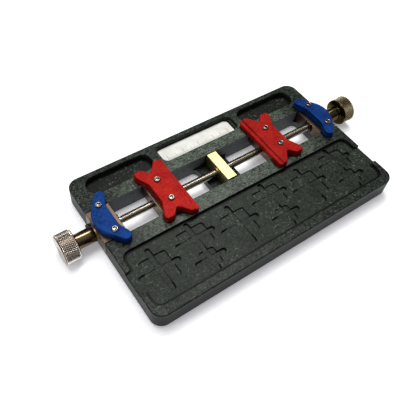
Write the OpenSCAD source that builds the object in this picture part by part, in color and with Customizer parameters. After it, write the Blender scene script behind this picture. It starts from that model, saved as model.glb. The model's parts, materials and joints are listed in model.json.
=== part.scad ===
// Double screw holder for phone circuit boards.
// X runs along the base, Y towards the back, Z up; the origin is on the table under the base's centre.

/* [Base plate] */
// Length of the base plate along X
base_l = 150; // [140:1:190]
// Width of the base plate along Y
base_w = 87.5; // [84:0.5:110]
// Thickness of the base plate
base_t = 10.9; // [10.9:0.1:14]
// Radius of the base plate's corners
corner_r = 6; // [3:0.5:10]
// Height that the feet lift the base plate
foot_h = 1.2; // [1:0.1:3]
// Diameter of each foot
foot_d = 9; // [6:0.5:10]
// Depth of the recess that holds each foot
foot_recess = 0.6; // [0.4:0.1:1]
// Distance of each foot's centre from the base's edges
foot_inset = 9; // [8:0.5:12]

/* [Front field] */
// Width of the rim along the front edge
front_rim = 5; // [3:0.25:8]
// Width of the rim at each end of the field
side_rim = 3; // [2:0.25:6]
// Depth of the field below the rim
field_depth = 1.5; // [1:0.1:2.5]
// Radius of the field's corners
field_r = 4.7; // [2:0.1:8]
// Width of the rail between the field and the channel
rail_w = 8.7; // [6:0.1:12]
// Width of the gap in the rim at each end
gate_w = 12.4; // [8:0.2:16]
// Distance from the base's front edge to the middle of each gap
gate_y = 20.8; // [18:0.2:24]
// Radius of the gap's corners
gate_r = 1.4; // [0.5:0.1:2]

/* [Chip nests] */
// Distance between neighbouring columns of nests
nest_pitch = 23.25; // [22.5:0.25:28]
// Shift of the row of nests to the left
nest_shift = 1.9; // [0:0.1:2.5]
// Depth of each nest's square below the field
nest_depth = 0.8; // [0.4:0.1:1.2]
// Depth of each nest's finger slots below the field
finger_depth = 1.1; // [0.6:0.1:1.5]
// Width of the finger slots
finger_w = 2.7; // [2:0.1:3.5]
// Radius of the square's corners
nest_r = 1.3; // [0.6:0.1:2]
// Length and width of the tall nest's square
tall_nest = [14.5, 15.3]; // [8:0.1:18]
// Length and width over the tall nest's fingers
tall_reach = [22.4, 24.8]; // [16:0.1:28]
// Length and width of the wide nest's square
wide_nest = [15.6, 11.8]; // [8:0.1:18]
// Length and width over the wide nest's fingers
wide_reach = [22.4, 18.5]; // [14:0.1:24]
// Length and width of the small nest's square
small_nest = [8.4, 9.6]; // [6:0.1:12]
// Length and width over the small nest's fingers
small_reach = [17.4, 14.9]; // [12:0.1:20]
// Distance from the front edge to the tall nests' centres
tall_nest_y = 21.6; // [20:0.1:24]
// Distance from the front edge to the wide nests' centres
wide_nest_y = 26.8; // [24:0.1:28]
// Distance from the front edge to the small nests' centres
small_nest_y = 13.8; // [13:0.1:15]

/* [Channel] */
// Distance of the screw axis behind the base's centre line
axis_y = 12; // [10:0.5:14]
// Height of the screw axis above the base plate's underside
axis_h = 7; // [6.8:0.1:7.2]
// Width of the channel
slot_w = 20.2; // [18:0.2:24]
// Thickness of the floor left under the channel
floor_t = 3.6; // [3:0.1:3.8]
// Length of the bridge of floor under the centre block
bridge_l = 18.8; // [14:0.2:24]
// Length of floor left behind each end block's flange
web_l = 8.5; // [8:0.1:11]
// Radius of the window's corners
window_r = 3; // [1:0.25:5]
// Gap between the channel's sides and what sits in it
slot_gap = 0.35; // [0.3:0.05:0.5]

/* [Rear pockets] */
// Length of the pocket for the scale plate
plate_pocket_l = 48.2; // [40:0.2:52]
// Width of each rear pocket
pocket_w = 11.2; // [8:0.2:13]
// Width of the rim behind the rear pockets
back_rim = 3.2; // [2.5:0.1:6]
// Depth of the rear pockets
pocket_depth = 3.5; // [2:0.1:5]
// Radius of the corner pockets
pocket_r = 5; // [3:0.25:5.5]
// Radius of the plate pocket's corners
plate_r = 3; // [2:0.25:5]
// Wall between the plate pocket and each corner pocket
pocket_wall = 5.4; // [4:0.1:8]
// Distance from the base's end to each corner pocket
pocket_end = 8; // [6:0.25:12]
// Thickness of the scale plate
plate_t = 0.6; // [0.4:0.1:1.2]
// Gap around the scale plate
plate_gap = 0.3; // [0.2:0.05:0.6]
// Length of the thumb step at the plate pocket's right end
thumb_l = 1.3; // [0.8:0.1:2]
// Depth of the thumb step
thumb_depth = 1.6; // [0.8:0.1:2.4]
// Distance of the thumb step from the plate pocket's sides
thumb_side = 1; // [0.5:0.1:1.8]

/* [End blocks] */
// Thickness of the end block's flange along X
flange_t = 4; // [3:0.25:6]
// Distance from the base's end to the jaw screws
fixed_screw_x = 6.75; // [6.5:0.05:7.5]
// Distance between the fixed jaw's two screws
fixed_screw_gap = 16; // [15.6:0.1:16.4]
// Radius of the bush pressed into the end block
bush_r = 3; // [2.8:0.1:3.2]
// Length of the bush pressed into the end block
bush_l = 7; // [5:0.5:9]
// Distance of the lock screw behind the screw axis
lock_y = 6.3; // [6:0.1:7]
// Height of the lock screw above the base plate's underside
lock_h = 5; // [4.8:0.1:6]

/* [Jaws] */
// Height of the jaws' top faces above the base plate
jaw_h = 4.3; // [3.6:0.1:6]
// Gap between the base plate and the sliding jaws
jaw_gap = 0.3; // [0.2:0.05:0.5]
// Rest position of the left sliding jaw's screws from the centre
left_jaw_x = 36.1; // [20:0.1:48]
// Rest position of the right sliding jaw's screws from the centre
right_jaw_x = 34.4; // [20:0.1:48]
// Distance between a sliding jaw's two screws
slide_screw_gap = 13.2; // [12:0.1:14]
// Height of the slot that grips a board's edge
grip_h = 1.2; // [0.8:0.1:1.6]
// Depth of the slot that grips a board's edge
grip_depth = 0.9; // [0.5:0.1:1.2]
// Thickness of jaw above the grip slot
grip_lip = 1.2; // [0.8:0.1:1.6]
// Width of the step along a sliding jaw's inner edge
step_w = 2.2; // [1:0.1:3]
// Depth of the step along a sliding jaw's inner edge
step_depth = 1.1; // [0.6:0.1:2]

/* [Lead screws] */
// Diameter of the lead screw's thread
screw_d = 4; // [3.8:0.1:4.2]
// Pitch of the lead screw's thread
screw_pitch = 0.7; // [0.5:0.05:1]
// Diameter of the journal at the lead screw's inner end
journal_d = 3; // [2.6:0.1:3.2]
// Length of the journal
journal_l = 1.9; // [1.5:0.1:2]
// Radial clearance of every turning fit
run_gap = 0.05; // [0.02:0.01:0.1]
// Diameter of the knob's knurled head
knob_d = 15.4; // [12:0.1:15.6]
// Length of the knob's knurled head
knob_l = 8; // [6:0.25:10]
// Size of the bevel on the knob's edges
knob_bevel = 0.5; // [0.3:0.1:1.2]
// Diameter of the knob's hub
hub_d = 8; // [7:0.1:9]
// Length of the knob's hub
hub_l = 9.9; // [8:0.1:12]
// Thickness of the thrust washer under the hub
washer_t = 0.5; // [0.3:0.1:0.8]
// Diameter of the thrust washer
washer_d = 7.2; // [6:0.1:9]
// Depth that the lead screw reaches into the knob's head
knob_grip = 5; // [3:0.5:5.5]
// Thickness of the retaining clip
clip_t = 0.6; // [0.4:0.1:0.8]
// Outside diameter of the retaining clip
clip_d = 7; // [6:0.1:7.5]
// Depth of the groove that holds the clip
groove_depth = 0.45; // [0.3:0.05:0.6]
// Play of the lead screw along its axis at each face that it runs against
end_play = 0.15; // [0.05:0.05:0.3]

/* [Centre block] */
// Length of the centre block along X
centre_l = 5.8; // [5.6:0.1:10]
// Height that the centre block stands above the base plate
centre_rise = 0.3; // [0:0.1:1]
// Outside diameter of the bush in the centre block
small_bush_d = 4.6; // [4:0.1:5]
// Diameter of the small bush's flange
small_flange_d = 6.2; // [5.5:0.1:7]
// Thickness of the small bush's flange
small_flange_t = 0.6; // [0.4:0.1:1]
// Thickness of metal left between the two small bushes
bush_web = 1.2; // [0.8:0.1:1.6]

/* [Nut blocks] */
// Length of the nut block along X
nut_l = 14; // [10:0.25:18]
// Gap between the nut block and the channel's floor
nut_gap = 0.5; // [0.3:0.05:0.6]

/* [Fasteners] */
// Diameter of the jaw screws
jaw_screw_d = 2; // [1.6:0.1:2.2]
// Length of the jaw screws under the head
jaw_screw_l = 8; // [6:0.25:8.5]
// Diameter of the jaw screws' heads
head_d = 3.5; // [3:0.1:4]
// Height of the jaw screws' heads
head_h = 1.1; // [0.8:0.1:1.4]
// Radius of the dome on the jaw screws' heads
head_r = 2.5; // [2.4:0.1:4]
// Width across the flats of the jaw screws' sockets
socket_af = 1.4; // [1:0.1:1.6]
// Thickness of metal left under those sockets
socket_floor = 0.3; // [0.2:0.1:0.5]
// Diameter of the screws that come up through the base
frame_screw_d = 2.5; // [2:0.1:2.6]
// Reach of those screws above the channel's floor
frame_screw_reach = 3.8; // [3:0.1:4]
// Diameter of their countersunk heads
frame_head_d = 4.6; // [4:0.1:5]
// Height of their countersunk heads
frame_head_h = 1.5; // [1:0.1:1.8]
// Width across the corners of their sockets
frame_socket = 1.7; // [1.2:0.1:2]
// Distance from each window to the screws under the end block
frame_screw_in = 3.55; // [3:0.05:4.5]
// Distance between those screws, across the channel
frame_screw_gap = 12.4; // [12:0.1:13]
// Diameter of the grub screw in each hub
grub_d = 2; // [1.6:0.1:2.2]
// Distance of the grub screw from the knob's head
grub_x = 1.8; // [1.6:0.1:3]
// Depth of the grub screw's end below the hub's surface
grub_sink = 0.3; // [0.1:0.1:0.6]
// Width across the corners of the grub screw's socket
grub_socket = 1; // [0.8:0.1:1.3]
// Turn of the left grub screw from straight up
left_grub_angle = 150; // [0:5:355]
// Turn of the right grub screw from straight up
right_grub_angle = 25; // [0:5:355]

/* [Lock screws] */
// Thread diameter of the lock screw
lock_d = 1.6; // [1.2:0.1:2]
// Thread length of the lock screw
lock_l = 3.6; // [2:0.1:3.8]
// Diameter of the lock screw's head
lock_head_d = 2.6; // [2:0.1:3]
// Length of the lock screw's head
lock_head_l = 1.9; // [1:0.1:2.5]
// Width across the corners of the lock screw's socket
lock_socket = 1.4; // [1:0.1:1.6]

/* [Fixed jaw outline] */
// Half of the fixed jaw's length
fixed_half = 15.7; // [14:0.1:18]
// Radius of the fixed jaw's tips
fixed_tip_r = 2.7; // [2:0.1:3]
// Distance from its screws to its inner edge
fixed_flat = 3; // [2.8:0.1:4]
// Half of the straight part of its inner edge
fixed_flat_half = 6.3; // [4:0.1:8]
// How far its tips reach inwards past its screws
fixed_flare = 5.8; // [5:0.1:7]
// Distance from its screws to the outside of its bulge
fixed_bulge = 6.8; // [6:0.1:7.5]
// Radius of the bulge
fixed_back_r = 12.5; // [10:0.5:15]

/* [Sliding jaw outline] */
// Half of the sliding jaw's length along its inner edge
slide_half = 18.3; // [17:0.1:20]
// Distance from its screws to its inner edge
slide_inner = 9.2; // [9:0.1:11]
// Half of its length over its outer tips
slide_tip_half = 16.2; // [15:0.1:18]
// Distance from its screws to its outer tips
slide_tip = 8.5; // [8:0.1:10]
// Distance from its screws to the waist of its outer edge
slide_waist = 5.2; // [4.5:0.1:6]
// Half of the straight part of that waist
slide_waist_half = 6.2; // [4:0.1:8]
// Half of its length between the notches
slide_notch_half = 11.9; // [10.5:0.1:13]
// Distance from its screws to the bottom of its notches
slide_notch_x = 0.3; // [0:0.1:1]
// Distance from its screws to the foot of its outer tips
slide_lug_x = 4; // [3.4:0.1:5]
// Length of the flat end of its outer tips
slide_lug = 3; // [2:0.1:4]
// Radius of its rounded corners
slide_r = 1.3; // [0.5:0.1:1.6]

/* [Hidden] */

$fn = 64;
over = 1;                                   // how far a cut runs past a face
top_z = foot_h + base_t;                    // top face of the base plate
floor_z = foot_h + floor_t;                 // top face of the channel's floor
axis_z = foot_h + axis_h;                   // height of both lead screws
jaw_z = top_z + jaw_h;                      // top face of every jaw
end_x = base_l / 2;                         // end face of the base plate
block_w = slot_w - 2 * slot_gap;            // width of everything that sits in the channel
front_y = -base_w / 2;                      // front face of the base plate
field_back = axis_y - slot_w / 2 - rail_w;  // back edge of the field
field_front = front_y + front_rim;          // front edge of the field
nest_columns = floor((base_l - 2 * side_rim - 2 * nest_shift) / nest_pitch);
web_x = end_x - flange_t - web_l;           // outer end of each window
pocket_back = base_w / 2 - back_rim;        // back edge of the rear pockets
pocket_x = plate_pocket_l / 2 + pocket_wall; // inner end of each corner pocket
jaw_screw_x = end_x - fixed_screw_x;        // screw line of each fixed jaw
frame_screw_x = web_x + frame_screw_in;     // screws under each end block
bore_r = screw_d / 2 + run_gap;             // running bore for the lead screw
centre_top = top_z + centre_rise;
centre_h = centre_top - floor_z;
clip_r = screw_d / 2 - groove_depth;        // radius at the bottom of the clip's groove
clip_x = web_x - end_play - clip_t;         // inner face of the retaining clip
hub_x = end_x + 2 * end_play + washer_t;    // inner face of the knob's hub
head_x = hub_x + hub_l;                     // inner face of the knob's head
bush_depth = (centre_l - bush_web) / 2;     // how deep each small bush sits
screw_in = centre_l / 2 + small_flange_t + end_play; // inner end of the thread

// ---- shapes that repeat ----

// Flat rectangle with round corners, centred on the origin
module round_rect(size, r) {
    square([size.x - 2 * r, size.y], center = true);
    square([size.x, size.y - 2 * r], center = true);
    for (sx = [-1, 1], sy = [-1, 1])
        translate([sx * (size.x / 2 - r), sy * (size.y / 2 - r)]) circle(r);
}

// Rectangle with round corners between two corners
module round_span(low, high, r) {
    translate((low + high) / 2) round_rect(high - low, r);
}

// Shows a part drawn for the right side on side s: 1 is right, -1 is left
module on_side(s) {
    if (s < 0) mirror([1, 0, 0]) children();
    else children();
}

// Rod along X from x0 to x1 on the screw axis
module rod(x0, x1, r) {
    translate([x0, axis_y, axis_z]) rotate([0, 90, 0]) cylinder(h = x1 - x0, r = r);
}

// Pair of places either side of the screw axis
module pair(gap) {
    for (sy = [-1, 1]) translate([0, axis_y + sy * gap / 2, 0]) children();
}

// Button-head socket screw with its head's seat at z = 0
module button_screw() {
    difference() {
        union() {
            translate([0, 0, -jaw_screw_l]) cylinder(h = jaw_screw_l, d = jaw_screw_d);
            intersection() {
                cylinder(h = head_h, d = head_d);
                translate([0, 0, head_h - head_r]) sphere(r = head_r);
            }
        }
        translate([0, 0, socket_floor]) cylinder(h = head_h, d = socket_af / cos(30), $fn = 6);
    }
}

// Countersunk screw that comes up through the base plate's underside
module frame_screw() {
    translate([0, 0, foot_h]) difference() {
        union() {
            cylinder(h = frame_head_h, d1 = frame_head_d, d2 = frame_screw_d);
            cylinder(h = floor_t + frame_screw_reach, d = frame_screw_d);
        }
        translate([0, 0, -over]) cylinder(h = over + frame_head_h / 2, d = frame_socket, $fn = 6);
    }
}

// Hole in the base plate for one countersunk screw
module frame_screw_hole() {
    translate([0, 0, foot_h - over]) cylinder(h = base_t, d = frame_screw_d + 2 * run_gap);
    translate([0, 0, foot_h])
        cylinder(h = frame_head_h, d1 = frame_head_d + 2 * run_gap, d2 = frame_screw_d + 2 * run_gap);
    translate([0, 0, foot_h - over]) cylinder(h = over, d = frame_head_d + 2 * run_gap);
}

// ---- base plate ----

// One nest: a square for the chip and crossed slots for tweezers
module nest(x, y, square_size, reach) {
    floor_level = top_z - field_depth;
    translate([x, front_y + y, floor_level - nest_depth])
        linear_extrude(nest_depth + over / 2) round_rect(square_size, nest_r);
    translate([x, front_y + y, floor_level - finger_depth])
        linear_extrude(finger_depth + over / 2) {
            round_rect([reach.x, finger_w], finger_w / 2 - 0.01);
            round_rect([finger_w, reach.y], finger_w / 2 - 0.01);
        }
}

// Row of nests, a tall one and a stacked pair in turn
module nests() {
    for (i = [0 : nest_columns - 1]) {
        x = (i - (nest_columns - 1) / 2) * nest_pitch - nest_shift;
        if (i % 2 == 0) {
            nest(x, tall_nest_y, tall_nest, tall_reach);
        } else {
            nest(x, wide_nest_y, wide_nest, wide_reach);
            nest(x, small_nest_y, small_nest, small_reach);
        }
    }
}

// Shallow working field with a gap in the rim at each end
module field() {
    translate([0, 0, top_z - field_depth]) linear_extrude(field_depth + over) {
        round_span([-end_x + side_rim, field_front], [end_x - side_rim, field_back], field_r);
        translate([0, front_y + gate_y]) difference() {
            square([base_l + 2 * over, gate_w + 2 * gate_r], center = true);
            for (sx = [-1, 1], sy = [-1, 1])
                translate([sx * (end_x - side_rim + gate_r), sy * (gate_w / 2 + gate_r)]) circle(gate_r);
            for (sx = [-1, 1], sy = [-1, 1])
                translate([sx * (end_x + over), sy * (gate_w / 2 + gate_r)])
                    square([2 * (side_rim - gate_r + over), 2 * gate_r], center = true);
        }
    }
}

// Channel for the mechanism, its two windows and the notches for the flanges
module channel() {
    translate([-end_x - over, axis_y - slot_w / 2, floor_z])
        cube([base_l + 2 * over, slot_w, base_t]);
    for (s = [-1, 1]) on_side(s) {
        translate([0, axis_y, foot_h - over]) linear_extrude(floor_t + 2 * over)
            round_span([bridge_l / 2, -slot_w / 2], [web_x, slot_w / 2], window_r);
        translate([end_x - flange_t, axis_y - slot_w / 2, foot_h - over])
            cube([flange_t + over, slot_w, base_t]);
    }
}

// Pockets along the back edge
module rear_pockets() {
    translate([0, pocket_back - pocket_w / 2, top_z - pocket_depth])
        linear_extrude(pocket_depth + over) {
            round_rect([plate_pocket_l, pocket_w], plate_r);
            for (s = [-1, 1]) translate([s * (pocket_x + end_x - pocket_end) / 2, 0])
                round_rect([end_x - pocket_end - pocket_x, pocket_w], pocket_r);
        }
    translate([thumb_l, pocket_back - pocket_w / 2, top_z - thumb_depth])
        linear_extrude(thumb_depth + over)
            round_rect([plate_pocket_l, pocket_w - 2 * thumb_side], plate_r - thumb_side);
}

// Places of the four feet
module foot_places() {
    for (sx = [-1, 1], sy = [-1, 1])
        translate([sx * (end_x - foot_inset), sy * (base_w / 2 - foot_inset), 0]) children();
}

module base_plate() {
    color([0.13, 0.15, 0.14]) difference() {
        translate([0, 0, foot_h]) linear_extrude(base_t) round_rect([base_l, base_w], corner_r);
        field();
        nests();
        channel();
        rear_pockets();
        foot_places() translate([0, 0, foot_h - over]) cylinder(h = foot_recess + over, d = foot_d);
        pair(frame_screw_gap) frame_screw_hole();
        for (s = [-1, 1]) translate([s * frame_screw_x, 0, 0])
            pair(frame_screw_gap) frame_screw_hole();
    }
}

module feet() {
    color([0.06, 0.06, 0.06]) foot_places() cylinder(h = foot_h + foot_recess, d = foot_d);
}

module scale_plate() {
    color([0.93, 0.92, 0.86])
        translate([0, pocket_back - pocket_w / 2, top_z - pocket_depth]) linear_extrude(plate_t)
            round_rect([plate_pocket_l - 2 * plate_gap, pocket_w - 2 * plate_gap], plate_r - plate_gap);
}

// ---- fixed metalwork ----

module centre_block() {
    color([0.86, 0.82, 0.62]) difference() {
        translate([-centre_l / 2, axis_y - block_w / 2, floor_z]) cube([centre_l, block_w, centre_h]);
        for (s = [-1, 1]) on_side(s) rod(centre_l / 2 - bush_depth, centre_l, small_bush_d / 2);
        pair(frame_screw_gap) translate([0, 0, floor_z - over])
            cylinder(h = frame_screw_reach + over, d = frame_screw_d);
    }
}

module centre_block_screws() {
    color([0.6, 0.6, 0.6]) pair(frame_screw_gap) frame_screw();
}

// Small flanged bush for the lead screw's journal
module inner_bush() {
    color([0.62, 0.44, 0.24]) difference() {
        union() {
            rod(centre_l / 2 - bush_depth, centre_l / 2, small_bush_d / 2);
            rod(centre_l / 2, centre_l / 2 + small_flange_t, small_flange_d / 2);
        }
        rod(0, centre_l, journal_d / 2 + run_gap);
    }
}

// Block in each end of the channel: a full-height flange with a body behind it
module end_block() {
    color([0.5, 0.38, 0.26]) difference() {
        union() {
            translate([end_x - flange_t + slot_gap, axis_y - block_w / 2, foot_h])
                cube([flange_t - slot_gap, block_w, base_t]);
            translate([web_x, axis_y - block_w / 2, floor_z])
                cube([end_x - web_x, block_w, base_t - floor_t]);
        }
        rod(web_x - over, end_x + over, bore_r);
        rod(end_x - bush_l, end_x + over, bush_r);
        translate([jaw_screw_x, 0, jaw_z - jaw_screw_l]) pair(fixed_screw_gap)
            cylinder(h = jaw_screw_l, d = jaw_screw_d);
        translate([frame_screw_x, 0, floor_z - over]) pair(frame_screw_gap)
            cylinder(h = frame_screw_reach + over, d = frame_screw_d);
        translate([end_x - lock_l, axis_y + lock_y, foot_h + lock_h]) rotate([0, 90, 0])
            cylinder(h = lock_l + over, d = lock_d);
    }
}

module end_block_screws() {
    color([0.6, 0.6, 0.6]) translate([frame_screw_x, 0, 0]) pair(frame_screw_gap) frame_screw();
}

module outer_bush() {
    color([0.62, 0.44, 0.24]) difference() {
        rod(end_x - bush_l, end_x, bush_r);
        rod(end_x - bush_l - over, end_x + over, bore_r);
    }
}

module thrust_washer() {
    color([0.7, 0.68, 0.64]) difference() {
        rod(end_x + end_play, end_x + end_play + washer_t, washer_d / 2);
        rod(end_x, end_x + washer_t + over, bore_r);
    }
}

// Small cap screw in the end block's outer face
module lock_screw() {
    color([0.08, 0.08, 0.09]) translate([end_x, axis_y + lock_y, foot_h + lock_h])
        rotate([0, 90, 0]) difference() {
            union() {
                translate([0, 0, -lock_l]) cylinder(h = lock_l, d = lock_d);
                cylinder(h = lock_head_l, d = lock_head_d);
            }
            translate([0, 0, lock_head_l / 2]) cylinder(h = lock_head_l, d = lock_socket, $fn = 6);
        }
}

// ---- jaws ----

// Outline of the fixed jaw, with its screws' line at x = 0 and the screw axis at y = 0
module fixed_outline() {
    tip = [-fixed_flare + fixed_tip_r, fixed_half - fixed_tip_r];
    bulge = [fixed_bulge - fixed_back_r, 0];
    difference() {
        hull() {
            for (sy = [-1, 1]) translate([tip.x, sy * tip.y]) circle(fixed_tip_r, $fn = 32);
            intersection() {
                translate(bulge) circle(fixed_back_r, $fn = 96);
                translate([0, -fixed_half]) square([fixed_back_r, 2 * fixed_half]);
            }
        }
        polygon([[-fixed_flat, -fixed_flat_half], [-fixed_flat, fixed_flat_half],
            [-fixed_flare, fixed_half - fixed_tip_r], [-fixed_flare - over, fixed_half],
            [-fixed_flare - over, -fixed_half], [-fixed_flare, fixed_tip_r - fixed_half]]);
    }
}

module fixed_jaw() {
    color([0.08, 0.2, 0.55]) difference() {
        translate([jaw_screw_x, axis_y, top_z]) linear_extrude(jaw_h) fixed_outline();
        translate([jaw_screw_x, axis_y, jaw_z - grip_lip - grip_h]) linear_extrude(grip_h) difference() {
            translate([-fixed_flare - over, -fixed_half - over])
                square([fixed_flare - fixed_flat + grip_depth + 2 * over, 2 * (fixed_half + over)]);
            translate([grip_depth, 0]) fixed_outline();
        }
        translate([jaw_screw_x, 0, top_z - over]) pair(fixed_screw_gap)
            cylinder(h = jaw_h + 2 * over, d = jaw_screw_d + 2 * run_gap);
    }
}

// One pair of jaw screws at distance x from the centre
module jaw_screws(x, gap) {
    color([0.78, 0.76, 0.72]) translate([x, 0, jaw_z]) pair(gap) button_screw();
}

// Outline of the sliding jaw for the right side, with its screws' line at x = 0
module slide_outline() {
    upper = [[slide_tip, slide_tip_half - slide_lug], [slide_tip, slide_tip_half],
        [slide_lug_x, slide_tip_half], [slide_notch_x, slide_notch_half],
        [-slide_inner / 2, slide_half], [-slide_inner, slide_half]];
    lower = [for (i = [len(upper) - 1 : -1 : 0]) [upper[i].x, -upper[i].y]];
    waist = [[slide_waist, -slide_waist_half], [slide_waist, slide_waist_half]];
    offset(r = -slide_r, $fn = 32) offset(r = 2 * slide_r, $fn = 32) offset(delta = -slide_r)
        polygon(concat(waist, upper, lower));
}

// Sliding jaw with a step along its inner edge and a grip slot along its outer edge
module sliding_jaw(x) {
    color([0.75, 0.09, 0.08]) translate([x, axis_y, 0]) difference() {
        translate([0, 0, top_z + jaw_gap]) linear_extrude(jaw_h - jaw_gap) slide_outline();
        translate([-slide_inner - over, -slide_half - over, jaw_z - step_depth])
            cube([step_w + over, 2 * (slide_half + over), step_depth + over]);
        translate([0, 0, jaw_z - grip_lip - grip_h]) linear_extrude(grip_h) difference() {
            translate([slide_waist - grip_depth - over, -slide_half])
                square([slide_tip, 2 * slide_half]);
            translate([-grip_depth, 0]) slide_outline();
        }
        for (sy = [-1, 1]) translate([0, sy * slide_screw_gap / 2, top_z])
            cylinder(h = jaw_h + over, d = jaw_screw_d + 2 * run_gap);
    }
}

// ---- moving metalwork ----

// Block in the channel that carries the sliding jaw along the lead screw
module nut_block(x) {
    color([0.5, 0.38, 0.26]) difference() {
        translate([x - nut_l / 2, axis_y - block_w / 2, floor_z + nut_gap])
            cube([nut_l, block_w, top_z + jaw_gap - floor_z - nut_gap]);
        rod(x - nut_l, x + nut_l, bore_r);
        translate([x, 0, jaw_z - jaw_screw_l]) pair(slide_screw_gap)
            cylinder(h = jaw_screw_l, d = jaw_screw_d);
    }
}

// Lead screw: thread, journal at its inner end and a groove for its clip
module lead_screw() {
    color([0.72, 0.68, 0.58]) difference() {
        union() {
            rod(screw_in, head_x + knob_grip, screw_d / 2);
            rod(screw_in - journal_l, screw_in, journal_d / 2);
        }
        difference() {
            rod(clip_x, clip_x + clip_t, screw_d);
            rod(clip_x, clip_x + clip_t, clip_r);
        }
    }
}

// Clip in the lead screw's groove that stops it from being pulled out
module retaining_clip() {
    color([0.25, 0.25, 0.26]) difference() {
        rod(clip_x, clip_x + clip_t, clip_d / 2);
        rod(clip_x - over, clip_x + clip_t + over, clip_r);
        translate([clip_x - over, axis_y - clip_r, axis_z]) cube([clip_t + 2 * over, 2 * clip_r, clip_d]);
    }
}

// Places along the grub screw, whose axis is turned by angle from straight up
module grub_place(angle) {
    translate([head_x - grub_x, axis_y, axis_z]) rotate([angle, 0, 0]) children();
}

// Knob with its hub; its grub screw hole is turned by angle from straight up
module knob(angle) {
    profile = [[screw_d / 2, 0], [hub_d / 2, 0], [hub_d / 2, hub_l],
        [knob_d / 2 - knob_bevel, hub_l], [knob_d / 2, hub_l + knob_bevel],
        [knob_d / 2, hub_l + knob_l - knob_bevel], [knob_d / 2 - knob_bevel, hub_l + knob_l],
        [0, hub_l + knob_l], [0, hub_l + knob_grip], [screw_d / 2, hub_l + knob_grip]];
    color([0.66, 0.55, 0.42]) difference() {
        translate([hub_x, axis_y, axis_z]) rotate([90, 0, 90]) rotate_extrude($fn = 96) polygon(profile);
        grub_place(angle) cylinder(h = hub_d, d = grub_d);
    }
}

// Grub screw that holds the knob on the lead screw
module grub_screw(angle) {
    color([0.3, 0.3, 0.3]) grub_place(angle) difference() {
        translate([0, 0, screw_d / 2]) cylinder(h = (hub_d - screw_d) / 2 - grub_sink, d = grub_d);
        translate([0, 0, hub_d / 2 - grub_sink - grub_socket])
            cylinder(h = hub_d, d = grub_socket, $fn = 6);
    }
}

module left_end_block() { on_side(-1) end_block(); }
module right_end_block() { on_side(1) end_block(); }
module left_end_block_screws() { on_side(-1) end_block_screws(); }
module right_end_block_screws() { on_side(1) end_block_screws(); }
module left_outer_bush() { on_side(-1) outer_bush(); }
module right_outer_bush() { on_side(1) outer_bush(); }
module left_inner_bush() { on_side(-1) inner_bush(); }
module right_inner_bush() { on_side(1) inner_bush(); }
module left_thrust_washer() { on_side(-1) thrust_washer(); }
module right_thrust_washer() { on_side(1) thrust_washer(); }
module left_lock_screw() { on_side(-1) lock_screw(); }
module right_lock_screw() { on_side(1) lock_screw(); }
module left_fixed_jaw() { on_side(-1) fixed_jaw(); }
module right_fixed_jaw() { on_side(1) fixed_jaw(); }
module left_fixed_jaw_screws() { on_side(-1) jaw_screws(jaw_screw_x, fixed_screw_gap); }
module right_fixed_jaw_screws() { on_side(1) jaw_screws(jaw_screw_x, fixed_screw_gap); }
module left_lead_screw() { on_side(-1) lead_screw(); }
module right_lead_screw() { on_side(1) lead_screw(); }
module left_retaining_clip() { on_side(-1) retaining_clip(); }
module right_retaining_clip() { on_side(1) retaining_clip(); }
module left_knob() { on_side(-1) knob(left_grub_angle); }
module right_knob() { on_side(1) knob(right_grub_angle); }
module left_knob_grub_screw() { on_side(-1) grub_screw(left_grub_angle); }
module right_knob_grub_screw() { on_side(1) grub_screw(right_grub_angle); }
module left_nut_block() { on_side(-1) nut_block(left_jaw_x); }
module right_nut_block() { on_side(1) nut_block(right_jaw_x); }
module left_sliding_jaw() { on_side(-1) sliding_jaw(left_jaw_x); }
module right_sliding_jaw() { on_side(1) sliding_jaw(right_jaw_x); }
module left_sliding_jaw_screws() { on_side(-1) jaw_screws(left_jaw_x, slide_screw_gap); }
module right_sliding_jaw_screws() { on_side(1) jaw_screws(right_jaw_x, slide_screw_gap); }

base_plate();
feet();
scale_plate();
centre_block();
centre_block_screws();
left_end_block();
right_end_block();
left_end_block_screws();
right_end_block_screws();
left_outer_bush();
right_outer_bush();
left_inner_bush();
right_inner_bush();
left_thrust_washer();
right_thrust_washer();
left_lock_screw();
right_lock_screw();
left_fixed_jaw();
right_fixed_jaw();
left_fixed_jaw_screws();
right_fixed_jaw_screws();
left_lead_screw();
right_lead_screw();
left_retaining_clip();
right_retaining_clip();
left_knob();
right_knob();
left_knob_grub_screw();
right_knob_grub_screw();
left_nut_block();
right_nut_block();
left_sliding_jaw();
right_sliding_jaw();
left_sliding_jaw_screws();
right_sliding_jaw_screws();
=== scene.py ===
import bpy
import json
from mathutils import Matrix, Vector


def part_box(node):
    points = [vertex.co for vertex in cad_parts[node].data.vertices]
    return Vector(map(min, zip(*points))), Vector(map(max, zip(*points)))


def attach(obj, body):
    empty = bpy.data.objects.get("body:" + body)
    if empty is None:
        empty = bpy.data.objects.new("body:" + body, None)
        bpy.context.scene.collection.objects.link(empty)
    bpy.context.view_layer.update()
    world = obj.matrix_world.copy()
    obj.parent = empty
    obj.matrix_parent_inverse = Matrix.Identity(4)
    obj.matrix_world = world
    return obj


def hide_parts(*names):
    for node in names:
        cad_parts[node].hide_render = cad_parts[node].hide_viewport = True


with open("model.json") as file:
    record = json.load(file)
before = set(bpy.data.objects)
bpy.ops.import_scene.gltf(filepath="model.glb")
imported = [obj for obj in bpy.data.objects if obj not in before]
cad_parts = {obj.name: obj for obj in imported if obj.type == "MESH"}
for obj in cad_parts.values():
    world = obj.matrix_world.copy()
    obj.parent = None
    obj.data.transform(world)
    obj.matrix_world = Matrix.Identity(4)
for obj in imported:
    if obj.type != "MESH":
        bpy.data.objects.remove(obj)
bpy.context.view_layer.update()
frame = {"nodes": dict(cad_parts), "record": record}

import json
import math

import bmesh
import bpy
from mathutils import Matrix, Quaternion, Vector

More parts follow.
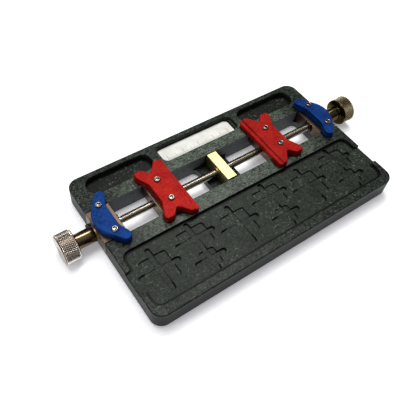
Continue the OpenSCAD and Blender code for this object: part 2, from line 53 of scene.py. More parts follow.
MM = 0.001
NODES = frame["nodes"]
BODIES = frame["record"]["behaviour"]["bodies"]
SLOTS = {s["node"]: s["material_slot"] for s in frame["record"]["subparts"]}
BODY_OF = {n: b for b, members in BODIES.items() for n in members}
SIDES = {"left": -1, "right": 1}


# ---------------------------------------------------------------- places on the object

# the screw axis, and the knobs' radius
screw_low, screw_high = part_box("left_lead_screw")
AXIS_Y = (screw_low.y + screw_high.y) / 2
AXIS_Z = (screw_low.z + screw_high.z) / 2
KNOB_R = (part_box("left_knob")[1].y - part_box("left_knob")[0].y) / 2

# the base plate's corner radius, and the levels of its top, of the field's floor and over the pockets' floors
BASE_LOW, BASE_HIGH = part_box("base_plate")
CORNER_R = 6.0 * MM
TOP_Z = BASE_HIGH.z
FIELD_Z = TOP_Z - 1.5 * MM
POCKET_Z = TOP_Z - 3.0 * MM

# the front field's outline, and the gap in the rim at each end of it
CHANNEL_HALF, RAIL_W = 10.1 * MM, 8.7 * MM
FIELD_FRONT, FIELD_BACK = BASE_LOW.y + 5.0 * MM, AXIS_Y - CHANNEL_HALF - RAIL_W
FIELD_Y, FIELD_HALF_Y = (FIELD_FRONT + FIELD_BACK) / 2, (FIELD_BACK - FIELD_FRONT) / 2
FIELD_HALF_X = BASE_HIGH.x - 3.0 * MM
FIELD_R = 4.7 * MM
GAP_Y, GAP_HALF = BASE_LOW.y + 20.8 * MM, 6.2 * MM

# the knobs: hub radius, head length, bevel at each end of the head, and the diamond knurling between them
HUB_R, HEAD_L, HEAD_BEVEL = 4.0 * MM, 8.0 * MM, 0.5 * MM
KNURLS, KNURL_STEPS, KNURL_DEPTH = 40, 8, 0.46 * MM

# the lead screws: thread, inner journal, and radius in the clip's groove
THREAD_PITCH, THREAD_DEPTH, THREAD_STEPS = 0.7 * MM, 0.40 * MM, 26
JOURNAL_R, JOURNAL_L, GROOVE_R = 1.5 * MM, 1.9 * MM, 1.57 * MM

# the jaws' button-head screws
SHANK_R, SOCKET_R = 0.98 * MM, 0.95 * MM


# ---------------------------------------------------------------- materials

class Graph:
    """Small helper that wires one material's nodes."""

    def __init__(self, name):
        self.mat = bpy.data.materials.new(name)
        self.mat.use_nodes = True
        self.tree = self.mat.node_tree
        self.tree.nodes.clear()
        self.out = self.node("ShaderNodeOutputMaterial")
        self.bsdf = self.node("ShaderNodeBsdfPrincipled")
        self.link(self.bsdf.outputs[0], self.out.inputs[0])
        self.coord = self.node("ShaderNodeTexCoord").outputs["Object"]

    def node(self, kind, **props):
        n = self.tree.nodes.new(kind)
        for key, value in props.items():
            setattr(n, key, value)
        return n

    def link(self, a, b):
        self.tree.links.new(a, b)

    def put(self, socket, value):
        if hasattr(value, "is_output"):
            self.link(value, socket)
        else:
            socket.default_value = value

    def set(self, **values):
        for key, value in values.items():
            self.put(self.bsdf.inputs[key.replace("_", " ")], value)

    def specular(self, level):
        self.bsdf.inputs["Specular IOR Level"].default_value = level

    def math(self, op, a, b=0.0, c=0.0, clamp=False):
        n = self.node("ShaderNodeMath", operation=op, use_clamp=clamp)
        for i, v in enumerate((a, b, c)):
            self.put(n.inputs[i], v)
        return n.outputs[0]

    def times(self, a, b):
        return self.math("MULTIPLY", a, b)

    def scaled(self, a, gain, offset):
        """a * gain + offset"""
        return self.math("MULTIPLY_ADD", a, gain, offset)

    def larger(self, a, b):
        return self.math("MAXIMUM", a, b)

    def apart(self, a, b=0.0):
        """The distance between two values."""
        return self.math("ABSOLUTE", self.math("SUBTRACT", a, b))

    def hypot(self, a, b):
        return self.math("SQRT", self.math("ADD", self.times(a, a), self.times(b, b)))

    def noise(self, scale, detail=4.0, rough=0.55, stretch=(1, 1, 1), warp=0.0):
        place = self.node("ShaderNodeMapping")
        self.link(self.coord, place.inputs["Vector"])
        place.inputs["Scale"].default_value = [s * scale for s in stretch]
        n = self.node("ShaderNodeTexNoise")
        self.link(place.outputs[0], n.inputs["Vector"])
        n.inputs["Scale"].default_value = 1.0
        n.inputs["Detail"].default_value = detail
        n.inputs["Roughness"].default_value = rough
        n.inputs["Distortion"].default_value = warp
        return n.outputs[0]

    def ramp(self, value, low, high, to_low=0.0, to_high=1.0):
        """A soft step from to_low to to_high as the value goes from low to high."""
        n = self.node("ShaderNodeMapRange", interpolation_type="SMOOTHSTEP")
        self.put(n.inputs["Value"], value)
        for key, v in (("From Min", low), ("From Max", high), ("To Min", to_low), ("To Max", to_high)):
            n.inputs[key].default_value = v
        return n.outputs[0]

    def mix(self, amount, a, b):
        n = self.node("ShaderNodeMix", data_type="RGBA")
        self.put(n.inputs["Factor"], amount)
        self.put(n.inputs[6], a if hasattr(a, "is_output") else (*a, 1.0))
        self.put(n.inputs[7], b if hasattr(b, "is_output") else (*b, 1.0))
        return n.outputs[2]

    def bump(self, height, strength, distance):
        n = self.node("ShaderNodeBump")
        n.inputs["Strength"].default_value = strength
        n.inputs["Distance"].default_value = distance
        self.link(height, n.inputs["Height"])
        self.link(n.outputs[0], self.bsdf.inputs["Normal"])

    def xyz(self):
        n = self.node("ShaderNodeSeparateXYZ")
        self.link(self.coord, n.inputs[0])
        return n.outputs[0], n.outputs[1], n.outputs[2]

    def from_axis(self):
        """Distance from the screw axis."""
        _, y, z = self.xyz()
        return self.hypot(self.math("SUBTRACT", y, AXIS_Y), self.math("SUBTRACT", z, AXIS_Z))

    def facing_up(self):
        """1 on level faces that look up, 0 on the others."""
        geo = self.node("ShaderNodeNewGeometry")
        n = self.node("ShaderNodeSeparateXYZ")
        self.link(geo.outputs["Normal"], n.inputs[0])
        return self.ramp(n.outputs[2], 0.75, 0.97)

    def openness(self, reach):
        """1 in the open, towards 0 in the corners of steps and grooves."""
        n = self.node("ShaderNodeAmbientOcclusion", samples=16)
        n.inputs["Distance"].default_value = reach
        return n.outputs["AO"]


def inside_field(g, x, y):
    """Distance in from the field's wall, which is a rounded rectangle. It is negative outside the field."""
    past_x = g.math("SUBTRACT", g.apart(x), FIELD_HALF_X - FIELD_R)
    past_y = g.math("SUBTRACT", g.apart(y, FIELD_Y), FIELD_HALF_Y - FIELD_R)
    corner = g.hypot(g.larger(past_x, 0.0), g.larger(past_y, 0.0))
    straight = g.math("MINIMUM", g.larger(past_x, past_y), 0.0)
    return g.math("SUBTRACT", FIELD_R, g.math("ADD", corner, straight))


def composite():
    """Dark synthetic stone: matted glass fibre in black resin, paler where the milled top face is left and
    partly from painted sheen, with painted shade and shadow in its pockets, corners and along the field's
    wall.
    """
    g = Graph("composite_stone")
    x, y, z = g.xyz()
    level = g.facing_up()
    top = g.times(g.ramp(z, TOP_Z - 0.5 * MM, TOP_Z - 0.1 * MM), level)

    # what is in the resin
    clouds = g.noise(95, 3, 0.5)
    grain = g.noise(620, 3, 0.85, (1, 1.6, 1), 0.9)
    cross = g.noise(700, 3, 0.85, (1.7, 1, 1), 1.4)
    flecks = g.larger(g.ramp(grain, 0.47, 0.60), g.ramp(cross, 0.50, 0.63))
    pits = g.ramp(g.noise(700, 2, 0.6), 0.46, 0.34)
    glint_specks = g.times(g.ramp(g.noise(1000, 2, 0.5), 0.60, 0.68), g.ramp(clouds, 0.40, 0.60))

    # the resin: nearly black in the pockets as painted shade, pale on the milled top, partly its finish and
    # partly painted sheen, pale on the channel's walls as painted light, and darker at the rims, where the
    # painted sheen falls off
    field = g.mix(g.ramp(clouds, 0.35, 0.70), (0.0048, 0.0070, 0.0040), (0.0100, 0.0138, 0.0084))
    # painted shade: the deep pockets' floors are painted near black for the shade in them
    pocket_shade = g.ramp(z, POCKET_Z + 0.2 * MM, POCKET_Z - 0.2 * MM)
    floors = g.mix(pocket_shade, field, (0.0020, 0.0021, 0.0016))
    # painted light: the channel's walls are painted about twenty times paler than the other walls, for the
    # light that reaches them
    lit_channel_wall = g.ramp(g.apart(y, AXIS_Y), CHANNEL_HALF + 0.9 * MM, CHANNEL_HALF - 0.1 * MM)
    walls = g.mix(lit_channel_wall, (0.0048, 0.0049, 0.0057), (0.0900, 0.0960, 0.1020))
    # the milled top's pale colour is partly its finish and partly painted sheen; towards the outer rims it is
    # painted darker, where the painted sheen falls off
    milled_and_sheen = g.mix(g.ramp(clouds, 0.30, 0.70), (0.0125, 0.0180, 0.0112), (0.0270, 0.0375, 0.0245))
    rim_past_sheen = g.larger(g.ramp(g.apart(y), 27 * MM, 36 * MM), g.ramp(g.apart(x), 46 * MM, 64 * MM))
    milled_and_sheen = g.mix(rim_past_sheen, milled_and_sheen, (0.0028, 0.0042, 0.0026))
    resin = g.mix(top, g.mix(level, walls, floors), milled_and_sheen)

    # fibre, which shows most on the rails, then pits, and bright specks that are partly fibre and partly
    # painted glint, stronger on level faces
    rail = g.times(top, g.scaled(rim_past_sheen, -0.80, 1.0))
    fibre = g.times(flecks, g.scaled(rail, 0.50, 0.15))
    # fewer fibre flecks down in the pockets, part of their painted shade
    fibre = g.times(fibre, g.ramp(z, POCKET_Z - 0.2 * MM, POCKET_Z + 0.2 * MM, 0.35, 1.0))
    colour = g.mix(fibre, resin, (0.155, 0.188, 0.146))
    colour = g.mix(g.times(pits, g.scaled(top, 0.45, 0.30)), colour, (0.0020, 0.0025, 0.0018))
    # bright specks, partly painted glint: six times stronger on faces that look up
    colour = g.mix(g.times(glint_specks, g.scaled(level, 0.20, 0.04)), colour, (0.30, 0.35, 0.30))

    # painted shade in the corners and grooves, and a painted shadow line on the field's floor against its
    # wall, but not across the gaps in its ends
    openness = g.openness(4 * MM)
    on_wall = g.ramp(openness, 0.38, 0.82)
    lit = g.scaled(level, g.math("SUBTRACT", g.ramp(openness, 0.48, 0.66), on_wall), on_wall)
    inside = inside_field(g, x, y)
    clear_of_shadow_line = g.larger(g.ramp(inside, 1.1 * MM, 1.5 * MM), g.ramp(inside, -0.2 * MM, -0.5 * MM))
    clear_of_shadow_line = g.larger(clear_of_shadow_line, g.ramp(z, FIELD_Z + 0.2 * MM, FIELD_Z + 0.5 * MM))
    clear_of_shadow_line = g.larger(clear_of_shadow_line, g.ramp(g.apart(y, GAP_Y), GAP_HALF + 0.2 * MM, GAP_HALF - 0.3 * MM))
    # painted shade and painted shadow: near-black where the corners close in and along the field's wall
    colour = g.mix(g.times(lit, clear_of_shadow_line), (0.0006, 0.0006, 0.0006), colour)

    g.set(Base_Color=colour, Roughness=g.scaled(grain, 0.30, g.scaled(top, -0.10, 0.26)))
    g.specular(0.08)
    g.bump(g.scaled(cross, 0.5, grain), 0.55, 0.09 * MM)
    return g.mat


def anodised(name, deep, bright):
    """Bead-blasted aluminium dyed one colour, with a fine grain and paler edges, partly worn and partly a
    painted highlight.
    """
    g = Graph(name)
    grain = g.noise(2100, 4, 0.65)
    mottle = g.noise(1250, 3, 0.7)
    blotch = g.noise(170, 3, 0.5)
    pits = g.ramp(g.noise(1100, 3, 0.6), 0.40, 0.30)
    edge = g.ramp(g.node("ShaderNodeNewGeometry").outputs["Pointiness"], 0.53, 0.60)
    tone = g.scaled(blotch, 0.3, g.times(mottle, 0.7))
    body = g.mix(g.ramp(tone, 0.38, 0.62), deep, bright)
    body = g.mix(g.times(pits, 0.6), body, tuple(0.42 * c for c in deep))
    # paler edges: partly wear, partly a painted highlight along them
    worn_edge_and_highlight = tuple(1.25 * c + 0.05 for c in bright)
    g.set(Base_Color=g.mix(g.times(edge, 0.45), body, worn_edge_and_highlight), Metallic=0.30)
    g.set(Roughness=g.scaled(grain, 0.22, 0.38))
    g.specular(0.07)
    g.bump(grain, 0.30, 0.03 * MM)
    return g.mat


def machined(g, scale, stretch=(1, 1, 1), rings=False):
    """Tool marks along one direction, or rings about the screw axis, and a tone that adds a stain to them."""
    marks = g.noise(scale, 4, 0.6, stretch)
    stain = g.noise(120, 4, 0.55, (1, 1, 1), 0.6)
    if rings:
        ring_pitch = 0.22 * MM
        spread = g.scaled(g.xyz()[0], 0.8, g.from_axis())
        marks = g.scaled(g.math("SINE", g.times(spread, 2 * math.pi / ring_pitch)), 0.14, marks)
    tone = g.ramp(g.scaled(marks, 0.40, g.times(stain, 0.60)), 0.30, 0.70)
    return marks, tone


def metal(name, dark, light, rough=0.28, stretch=(1, 1, 1), scale=900, bump=0.12, rings=False):
    """Machined metal, from its dark tone to its light one."""
    g = Graph(name)
    marks, tone = machined(g, scale, stretch, rings)
    g.set(Base_Color=g.mix(tone, dark, light), Metallic=1.0)
    g.set(Roughness=g.math("MULTIPLY_ADD", marks, 0.12, rough - 0.05, clamp=True))
    g.bump(marks, bump, 0.03 * MM)
    return g.mat


def knurled(name, valley, crest, rough):
    """Metal under knurling: painted shade in the valleys, and crests painted bright, partly worn and partly a
    painted highlight.
    """
    g = Graph(name)
    marks, tone = machined(g, 900, rings=True)
    # painted shade in the knurl's valleys and a painted highlight on its crests, which are also worn
    height = g.ramp(g.from_axis(), KNOB_R - KNURL_DEPTH, KNOB_R - 0.14 * MM)
    low = g.mix(tone, valley, tuple(1.3 * c for c in valley))
    g.set(Base_Color=g.mix(height, low, crest), Metallic=1.0)
    g.set(Roughness=g.math("MULTIPLY_ADD", marks, 0.12, rough - 0.05, clamp=True))
    return g.mat


def rubber():
    g = Graph("rubber")
    grain = g.noise(2600, 3, 0.6)
    g.set(Base_Color=g.mix(grain, (0.012, 0.012, 0.013), (0.030, 0.030, 0.031)))
    g.set(Roughness=g.scaled(grain, 0.2, 0.6))
    g.bump(grain, 0.3, 0.05 * MM)
    return g.mat


def cream_plate():
    """Cream laminate with plain graduation ticks along its front edge."""
    g = Graph("cream_laminate")
    low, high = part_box("scale_plate")
    middle, margin, rule_y = (low.x + high.x) / 2, 3.0 * MM, low.y + 2.0 * MM
    x, y, _ = g.xyz()
    grain = g.noise(1800, 4, 0.6)
    cloud = g.noise(120, 2, 0.5)
    cream = g.mix(g.ramp(cloud, 0.35, 0.65), (0.57, 0.57, 0.515), (0.67, 0.67, 0.615))
    soiled = g.mix(g.times(g.ramp(grain, 0.55, 0.75), 0.30), cream, (0.55, 0.55, 0.47))

    def rising(value, start):
        return g.ramp(value, start, start + 0.1 * MM)

    def falling(value, end):
        return g.ramp(value, end, end - 0.1 * MM)

    def ticks(step, length, thick):
        place = g.times(g.math("SUBTRACT", x, middle), 1 / step)
        line = g.ramp(g.apart(place, g.math("ROUND", place)), thick / step, 0.6 * thick / step)
        return g.times(line, falling(y, rule_y + 0.3 * MM + length))

    lines = g.larger(ticks(1 * MM, 1.1 * MM, 0.13 * MM), ticks(5 * MM, 2.2 * MM, 0.17 * MM))
    lines = g.larger(lines, ticks(10 * MM, 3.0 * MM, 0.20 * MM))
    lines = g.times(lines, rising(y, rule_y + 0.1 * MM))
    rule = g.times(rising(y, rule_y), falling(y, rule_y + 0.35 * MM))
    span = g.times(rising(x, low.x + margin), falling(x, high.x - margin))
    ink = g.times(g.times(g.larger(lines, rule), span), g.facing_up())
    g.set(Base_Color=g.mix(g.times(ink, 0.72), soiled, (0.10, 0.10, 0.10)))
    g.set(Roughness=g.scaled(grain, 0.2, 0.32))
    g.bump(grain, 0.15, 0.03 * MM)
    return g.mat


def floor_material():
    """Pale matt floor, with a little light of its own so that shadows on it stay soft."""
    g = Graph("pale_floor")
    g.set(Base_Color=g.mix(g.noise(6, 2, 0.5), (0.90, 0.90, 0.905), (0.93, 0.93, 0.935)), Roughness=0.75)
    g.specular(0.2)
    g.bsdf.inputs["Emission Color"].default_value = (0.97, 0.96, 1.0, 1)
    g.bsdf.inputs["Emission Strength"].default_value = 0.23
    return g.mat


# one material for each slot in the record
MATS = {
    "composite_base": composite(),
    "rubber_foot": rubber(),
    "cream_plate": cream_plate(),
    "pale_brass": metal("pale_brass", (0.40, 0.375, 0.150), (0.50, 0.475, 0.215), 0.36,
                        (1, 0.06, 1), 1500),
    "bronze_block": metal("bronze_block", (0.066, 0.044, 0.029), (0.130, 0.094, 0.065), 0.30,
                          (1, 0.08, 1), 1300),
    "bush_bronze": metal("bush_bronze", (0.36, 0.20, 0.07), (0.62, 0.40, 0.18), 0.30, rings=True),
    "champagne_bronze": metal("champagne_bronze", (0.105, 0.070, 0.038), (0.170, 0.118, 0.069), 0.15,
                              bump=0.02, rings=True),
    "nickel_rod": metal("nickel_rod", (0.27, 0.245, 0.185), (0.43, 0.39, 0.31), 0.24, (0.15, 1, 1)),
    "steel_screw": metal("steel_screw", (0.15, 0.133, 0.108), (0.30, 0.275, 0.232), 0.15,
                         scale=1400, bump=0.05),
    "black_steel": metal("black_steel", (0.020, 0.020, 0.022), (0.050, 0.050, 0.053), 0.42, scale=1700),
    "red_anodised": anodised("red_anodised", (0.195, 0.0018, 0.0011), (0.320, 0.0100, 0.0056)),
    "blue_anodised": anodised("blue_anodised", (0.0010, 0.0145, 0.0840), (0.0034, 0.0385, 0.1800)),
}

# each knob's plain metal and its knurling: the right knob's are a more golden copy of the left one's, painted
# much darker as shade
KNOB_MATS = {
    "left": (MATS[SLOTS["left_knob"]],
             knurled("rose_knurl", (0.100, 0.072, 0.048), (1.0, 0.93, 0.82), 0.24)),
    "right": (metal("golden_bronze_in_shade", (0.036, 0.026, 0.008), (0.074, 0.056, 0.021), 0.15,
                    bump=0.03, rings=True),
              knurled("golden_knurl_in_shade", (0.040, 0.030, 0.013), (0.42, 0.35, 0.20), 0.26)),
}


# ---------------------------------------------------------------- piece helpers

def dress(obj, *materials):
    obj.data.materials.clear()
    for material in materials:
        obj.data.materials.append(material)


def settle(obj, node, *materials):
    """Gives a new object its material, and the body and slot of the CAD node that it stands for."""
    dress(obj, *(materials or (MATS[SLOTS[node]],)))
    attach(obj, BODY_OF[node])
    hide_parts(node)


def from_bmesh(name, bm):
    bmesh.ops.recalc_face_normals(bm, faces=bm.faces)
    mesh = bpy.data.meshes.new(name)
    bm.to_mesh(mesh)
    bm.free()
    obj = bpy.data.objects.new(name, mesh)
    bpy.context.scene.collection.objects.link(obj)
    for face in mesh.polygons:
        face.use_smooth = True
    return obj


def apply_modifiers(obj):
    graph = bpy.context.evaluated_depsgraph_get()
    shape = obj.evaluated_get(graph)
    mesh = bpy.data.meshes.new_from_object(shape, preserve_all_data_layers=True, depsgraph=graph)
    old = obj.data
    obj.modifiers.clear()
    obj.data = mesh
    bpy.data.meshes.remove(old)


def flatten(mesh, least=2.0 * MM * MM):
    """Broad level or upright faces are shaded flat, and roundings and curved walls smooth."""
    planes = {}
    for face in mesh.polygons:
        n, offset = face.normal, face.normal.dot(face.center)
        key = (round(n.x, 2), round(n.y, 2), round(n.z, 2), round(offset / (0.02 * MM)))
        planes.setdefault(key, []).append(face)
    for key, faces in planes.items():
        squared = abs(key[2]) in (0.0, 1.0)
        flat = squared and sum(face.area for face in faces) > least
        for face in faces:
            face.use_smooth = not flat


def edged(node, width, share=None, segments=2, angle=28):
    """A copy of a CAD node with its sharp edges rounded. share(edge) scales one edge's rounding, 0 to 1."""
    bm = bmesh.new()
    bm.from_mesh(NODES[node].data)
    bmesh.ops.remove_doubles(bm, verts=bm.verts, dist=2e-6)
    weights = bm.edges.layers.float.new("bevel_weight_edge")
    for edge in bm.edges:
        if len(edge.link_faces) == 2 and edge.calc_face_angle(0) > math.radians(angle):
            edge[weights] = 1.0 if share is None else share(edge)
    obj = from_bmesh(node + "_shape", bm)
    bevel = obj.modifiers.new("edges", "BEVEL")
    bevel.width = width
    bevel.segments = segments
    bevel.limit_method = "WEIGHT"
    bevel.use_clamp_overlap = False
    bevel.loop_slide = False
    apply_modifiers(obj)
    flatten(obj.data)
    settle(obj, node)


def skin(bm, rows):
    """Joins rows of the same number of points by faces, and closes both ends."""
    count = len(rows[0])
    for low, high in zip(rows, rows[1:]):
        for i in range(count):
            j = (i + 1) % count
            bm.faces.new((low[i], low[j], high[j], high[i]))
    bm.faces.new(rows[0][::-1])
    bm.faces.new(rows[-1])


def ring_solid(name, rings):
    """A solid with a skin through rings of places."""
    bm = bmesh.new()
    skin(bm, [[bm.verts.new(p) for p in ring] for ring in rings])
    return from_bmesh(name, bm)


def axis_ring(side, x, r, count):
    """A circle about the screw axis, x metres out from the middle."""
    turns = [2 * math.pi * i / count for i in range(count)]
    return [(side * x, AXIS_Y + r * math.cos(a), AXIS_Z + r * math.sin(a)) for a in turns]


def turned(name, side, profile, count):
    """A solid of revolution about the screw axis, from (x, r) pairs with x outwards from the middle."""
    return ring_solid(name, [axis_ring(side, x, r, count) for x, r in profile])


def smooth_by_angle(obj, degrees=32):
    """Marks an object's sharp edges, so that its flat faces stay flat."""
    bm = bmesh.new()
    bm.from_mesh(obj.data)
    for edge in bm.edges:
        if len(edge.link_faces) == 2:
            edge.smooth = edge.calc_face_angle(0) < math.radians(degrees)
    bm.to_mesh(obj.data)
    bm.free()


def reach(node):
    """How far the near and the far end of a CAD node are from the middle along X."""
    return sorted(abs(corner.x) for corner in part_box(node))


# ---------------------------------------------------------------- base and what is fixed to it

def base_share(edge):
    """Full rounding round the outside, less on the other edges of the top, least down in the recesses."""
    mid = (edge.verts[0].co + edge.verts[1].co) / 2
    dx = max(abs(mid.x) - (BASE_HIGH.x - CORNER_R), 0)
    dy = max(abs(mid.y) - (BASE_HIGH.y - CORNER_R), 0)
    if CORNER_R - math.hypot(dx, dy) < 0.1 * MM:
        return 1.0
    if mid.z > TOP_Z - 0.1 * MM:
        return 0.62
    return 0.30


edged("base_plate", 0.5 * MM, base_share)
edged("feet", 0.25 * MM)
edged("scale_plate", 0.15 * MM)
edged("centre_block", 0.18 * MM)
dress(NODES["centre_block_screws"], MATS[SLOTS["centre_block_screws"]])
for name in SIDES:
    edged(name + "_end_block", 0.18 * MM)
    edged(name + "_nut_block", 0.18 * MM)
    edged(name + "_lock_screw", 0.16 * MM)
    for trim in ("_end_block_screws", "_outer_bush", "_inner_bush", "_thrust_washer", "_retaining_clip",
                 "_knob_grub_screw"):
        dress(NODES[name + trim], MATS[SLOTS[name + trim]])


# ---------------------------------------------------------------- jaws and their screws

def jaw_share(top):
    """Full rounding on the jaw's top edges, less on its upright edges, least on its low ones."""
    def share(edge):
        low = min(v.co.z for v in edge.verts)
        high = max(v.co.z for v in edge.verts)
        if low > top - 0.05 * MM:
            return 1.0
        if high - low > 0.8 * MM:
            return 0.8
        return 0.4
    return share


def socket_ring(bm, x, y, z, r, six, count=48):
    """A level ring about (x, y, z), round where six is 0 and six-sided where it is 1."""
    points = []
    for i in range(count):
        a = 2 * math.pi * i / count
        wedge = (a + math.pi / 6) % (math.pi / 3) - math.pi / 6
        flat = math.cos(math.pi / 6) / math.cos(wedge)
        r_here = r * ((1 - six) + six * flat)
        points.append(bm.verts.new((x + r_here * math.cos(a), y + r_here * math.sin(a), z)))
    return points


def button_screws(node, seat):
    """A jaw's pair of button-head screws, with a domed head and a true six-sided socket."""
    low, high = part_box(node)
    head_r, head_h = (high.x - low.x) / 2, high.z - seat
    crown_r, lip_h = SOCKET_R + 0.22 * MM, 0.07 * MM
    dome_w, dome_h = head_r - crown_r, head_h - lip_h
    profile = [(SHANK_R, low.z - seat, 0), (SHANK_R, -0.02 * MM, 0),
               (head_r - 0.06 * MM, 0, 0), (head_r, lip_h, 0)]
    for t in (0.12, 0.30, 0.50, 0.70, 0.86, 0.96):
        a = t * math.pi / 2
        profile.append((crown_r + dome_w * math.cos(a), lip_h + dome_h * math.sin(a), 0))
    profile += [(SOCKET_R + 0.18 * MM, head_h, 0), (SOCKET_R + 0.05 * MM, head_h - 0.02 * MM, 0.4),
                (SOCKET_R, head_h - 0.10 * MM, 1), (SOCKET_R, 0.10 * MM, 1),
                (0.55 * SOCKET_R, 0.02 * MM, 0.5)]
    bm = bmesh.new()
    x = (low.x + high.x) / 2
    for y in (low.y + head_r, high.y - head_r):
        skin(bm, [socket_ring(bm, x, y, seat + z, r, six) for r, z, six in profile])
    obj = from_bmesh(node + "_shape", bm)
    smooth_by_angle(obj, 35)
    settle(obj, node)


JAW_TOPS = {name + jaw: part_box(name + jaw)[1].z for name in SIDES for jaw in ("_fixed_jaw", "_sliding_jaw")}
for jaw, top in JAW_TOPS.items():
    edged(jaw, 0.40 * MM, jaw_share(top), segments=3, angle=34)
for jaw, top in JAW_TOPS.items():
    button_screws(jaw + "_screws", top)


# ---------------------------------------------------------------- lead screws

def screw_thread(node, side, start, end, root, crest):
    """The thread's ridge, a right-hand helix that fades out over a turn at each end."""
    flank, flat = 0.30 * MM, 0.06 * MM
    total = int((end - start - 2 * flank - 0.02 * MM) / THREAD_PITCH * THREAD_STEPS)
    bm = bmesh.new()
    rows = []
    for i in range(total + 1):
        a = 2 * math.pi * i / THREAD_STEPS
        x = start + flank + 0.01 * MM + THREAD_PITCH * i / THREAD_STEPS
        fade = min(1.0, i / THREAD_STEPS, (total - i) / THREAD_STEPS)
        r = root + (crest - root) * (0.04 + 0.96 * fade)
        # x runs outwards on both sides, so the helix turns the other way on the left to stay right-handed
        across, up = math.cos(a), side * math.sin(a)
        row = []
        for dx, rr in ((-flank, root - 0.06 * MM), (-flat, r), (flat, r), (flank, root - 0.06 * MM)):
            row.append(bm.verts.new((side * (x + dx), AXIS_Y + rr * across, AXIS_Z + rr * up)))
        rows.append(row)
    skin(bm, rows)
    ridge = from_bmesh(node + "_thread", bm)
    smooth_by_angle(ridge, 25)
    settle(ridge, node)


def lead_screw(name, side):
    """A lead screw: its core, with the journal, the thread's root and the clip's groove, and its thread."""
    node = name + "_lead_screw"
    low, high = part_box(node)
    inner, outer = reach(node)
    groove_in, groove_out = reach(name + "_retaining_clip")
    crest = (high.z - low.z) / 2
    root = crest - THREAD_DEPTH
    shoulder, step = inner + JOURNAL_L, 0.01 * MM
    start, end = shoulder + 0.25 * MM, groove_in - 0.55 * MM
    core = turned(node + "_core", side, [
        (inner, JOURNAL_R - 0.2 * MM), (inner + 0.2 * MM, JOURNAL_R), (shoulder, JOURNAL_R),
        (shoulder + step, root), (end, root), (end + 0.15 * MM, crest), (groove_in, crest),
        (groove_in + step, GROOVE_R), (groove_out - step, GROOVE_R), (groove_out, crest), (outer, crest)], 40)
    smooth_by_angle(core)
    settle(core, node)
    screw_thread(node, side, start, end, root, crest)


for name, side in SIDES.items():
    lead_screw(name, side)


# ---------------------------------------------------------------- knobs

def grub_hole(hub, grub):
    """Cuts the hole over the grub screw into the hub."""
    low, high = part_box(grub)
    centre = (low + high) / 2
    out = Vector((0, centre.y - AXIS_Y, centre.z - AXIS_Z)).normalized()
    start = Vector((centre.x, AXIS_Y, AXIS_Z)) + HUB_R * out
    place = Matrix.Translation(start) @ out.to_track_quat("Z", "Y").to_matrix().to_4x4()
    r, depth = 1.04 * MM, 3.6 * MM
    bm = bmesh.new()
    bmesh.ops.create_cone(bm, cap_ends=True, segments=32, radius1=r, radius2=r, depth=depth)
    bmesh.ops.transform(bm, matrix=place, verts=bm.verts)
    drill = from_bmesh("drill", bm)
    cut = hub.modifiers.new("hole", "BOOLEAN")
    cut.operation = "DIFFERENCE"
    cut.solver = "EXACT"
    cut.object = drill
    apply_modifiers(hub)
    bpy.data.objects.remove(drill)


def knob_hub(name, side, inner, back):
    """The hub, from its inner end to just inside the back of the head."""
    node = name + "_knob"
    hub = turned(node + "_hub", side, [
        (inner, HUB_R - 0.35 * MM), (inner + 0.12 * MM, HUB_R - 0.12 * MM), (inner + 0.35 * MM, HUB_R),
        (back - 0.45 * MM, HUB_R), (back - 0.20 * MM, HUB_R + 0.06 * MM),
        (back + 0.05 * MM, HUB_R + 0.28 * MM), (back + 0.60 * MM, HUB_R + 0.30 * MM)], 96)
    grub_hole(hub, node + "_grub_screw")
    smooth_by_angle(hub)
    settle(hub, node, KNOB_MATS[name][0])


def knurled_ring(side, x, k, fade):
    """Ring k of the diamond knurling, where two sets of crossed grooves are cut into the head."""
    def groove(steps):
        return 1 - abs(2 * (steps / KNURL_STEPS % 1.0) - 1)

    count = KNURLS * KNURL_STEPS
    ring = []
    for i in range(count):
        a = 2 * math.pi * i / count
        r = KNOB_R - 0.03 * MM - KNURL_DEPTH * fade * max(groove(i + k), groove(i - k))
        ring.append((side * x, AXIS_Y + r * math.cos(a), AXIS_Z + r * math.sin(a)))
    return ring


def knob_head(name, side, back, front):
    """The head, with a smooth bevel at each end, knurling between them and a shallow dimple in its face."""
    node = name + "_knob"
    count = KNURLS * KNURL_STEPS
    band_in, band_out = back + HEAD_BEVEL + 0.05 * MM, front - HEAD_BEVEL - 0.05 * MM
    rows = round((band_out - band_in) / (2 * math.pi * KNOB_R / KNURLS) * KNURL_STEPS)

    def plain(x, r):
        return axis_ring(side, x, r, count)

    edge_r, face_r = KNOB_R - 0.06 * MM, KNOB_R - HEAD_BEVEL
    rings = [plain(back, 0.8 * HUB_R), plain(back, face_r - 0.15 * MM),
             plain(back + 0.03 * MM, face_r - 0.02 * MM),
             plain(back + HEAD_BEVEL - 0.06 * MM, edge_r - 0.06 * MM), plain(back + HEAD_BEVEL, edge_r)]
    for k in range(rows + 1):
        x = band_in + (band_out - band_in) * k / rows
        rings.append(knurled_ring(side, x, k, min(1.0, k / 2, (rows - k) / 2)))
    rings += [plain(front - HEAD_BEVEL, edge_r), plain(front - HEAD_BEVEL + 0.06 * MM, edge_r - 0.06 * MM),
              plain(front - 0.04 * MM, face_r - 0.02 * MM), plain(front, face_r - 0.15 * MM),
              plain(front, 2.2 * MM), plain(front - 0.10 * MM, 1.9 * MM), plain(front - 0.22 * MM, 0.8 * MM)]
    head = ring_solid(node + "_head", rings)
    smooth_by_angle(head, 16)
    settle(head, node, *KNOB_MATS[name])
    for face in head.data.polygons:
        on_band = band_in - 0.05 * MM < abs(face.center.x) < band_out + 0.05 * MM
        face.material_index = 1 if on_band else 0


for name, side in SIDES.items():
    hub_end, head_front = reach(name + "_knob")
    knob_hub(name, side, hub_end, head_front - HEAD_L)
    knob_head(name, side, head_front - HEAD_L, head_front)


# ---------------------------------------------------------------- stage, light and camera

bm = bmesh.new()
bmesh.ops.create_grid(bm, x_segments=1, y_segments=1, size=4.0)
floor = from_bmesh("floor", bm)
dress(floor, floor_material())

scene = bpy.context.scene


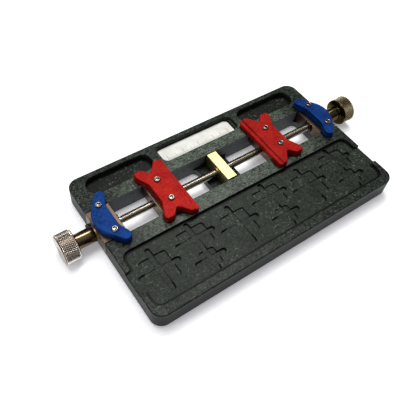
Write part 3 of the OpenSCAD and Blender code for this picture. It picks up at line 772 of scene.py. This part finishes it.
def studio_sky():
    """Soft light from all round, brightest overhead and dark near the ground."""
    world = bpy.data.worlds.new("studio")
    world.use_nodes = True
    tree = world.node_tree
    sky = tree.nodes["Background"]
    sky.inputs["Strength"].default_value = 0.72
    direction = tree.nodes.new("ShaderNodeTexCoord")
    split = tree.nodes.new("ShaderNodeSeparateXYZ")
    ramp = tree.nodes.new("ShaderNodeValToRGB")
    low, high = ramp.color_ramp.elements
    low.position, low.color = 0.02, (0.055, 0.053, 0.058, 1)
    high.position, high.color = 0.95, (0.96, 0.96, 1.0, 1)
    ramp.color_ramp.elements.new(0.45).color = (0.22, 0.22, 0.235, 1)
    tree.links.new(direction.outputs["Generated"], split.inputs[0])
    tree.links.new(split.outputs[2], ramp.inputs[0])
    tree.links.new(ramp.outputs[0], sky.inputs["Color"])
    scene.world = world


def place_light(name, kind, energy):
    lamp = bpy.data.lights.new(name, kind)
    lamp.energy = energy
    obj = bpy.data.objects.new(name, lamp)
    scene.collection.objects.link(obj)
    obj.rotation_mode = "QUATERNION"
    return obj


def area(name, place, target, size, energy):
    """A rectangular lamp that shines from a place towards a target."""
    obj = place_light(name, "AREA", energy)
    obj.data.shape = "RECTANGLE"
    obj.data.size, obj.data.size_y = size
    obj.location = place
    obj.rotation_quaternion = (Vector(target) - Vector(place)).to_track_quat("-Z", "Y")


studio_sky()
area("softbox", (0.18, 0.22, 0.50), (-0.02, 0, 0), (0.18, 0.12), 1.25)
area("side", (-0.62, 0.10, 0.42), (0, 0, 0), (0.12, 0.50), 0.6)
area("overhead", (-0.11, 0.05, 0.30), (-0.09, 0, 0), (0.10, 0.10), 0.17)
sun = place_light("sun", "SUN", 1.12)
sun.data.angle = math.radians(30)
sun.rotation_quaternion = Vector((-0.05, -0.24, -0.97)).to_track_quat("-Z", "Y")

# the camera looks along HEADING, measured from +X towards +Y, and down by TILT, at a point on the table
AIM = Vector((-17.04, 6.15, 0)) * MM
DISTANCE = 273.02 * MM
HEADING, TILT, ROLL = math.radians(49.45), math.radians(53.38), math.radians(7.09)
ahead = Vector((math.cos(TILT) * math.cos(HEADING), math.cos(TILT) * math.sin(HEADING), -math.sin(TILT)))
camera = bpy.data.cameras.new("camera")
camera.sensor_width = 36.0
camera.lens = 46.29
camera.clip_start, camera.clip_end = 0.01, 10
viewer = bpy.data.objects.new("camera", camera)
scene.collection.objects.link(viewer)
viewer.rotation_mode = "QUATERNION"
viewer.rotation_quaternion = ahead.to_track_quat("-Z", "Y") @ Quaternion((0, 0, 1), ROLL)
viewer.location = AIM - DISTANCE * ahead
scene.camera = viewer
scene.view_settings.view_transform = "Standard"
scene.view_settings.look = "None"
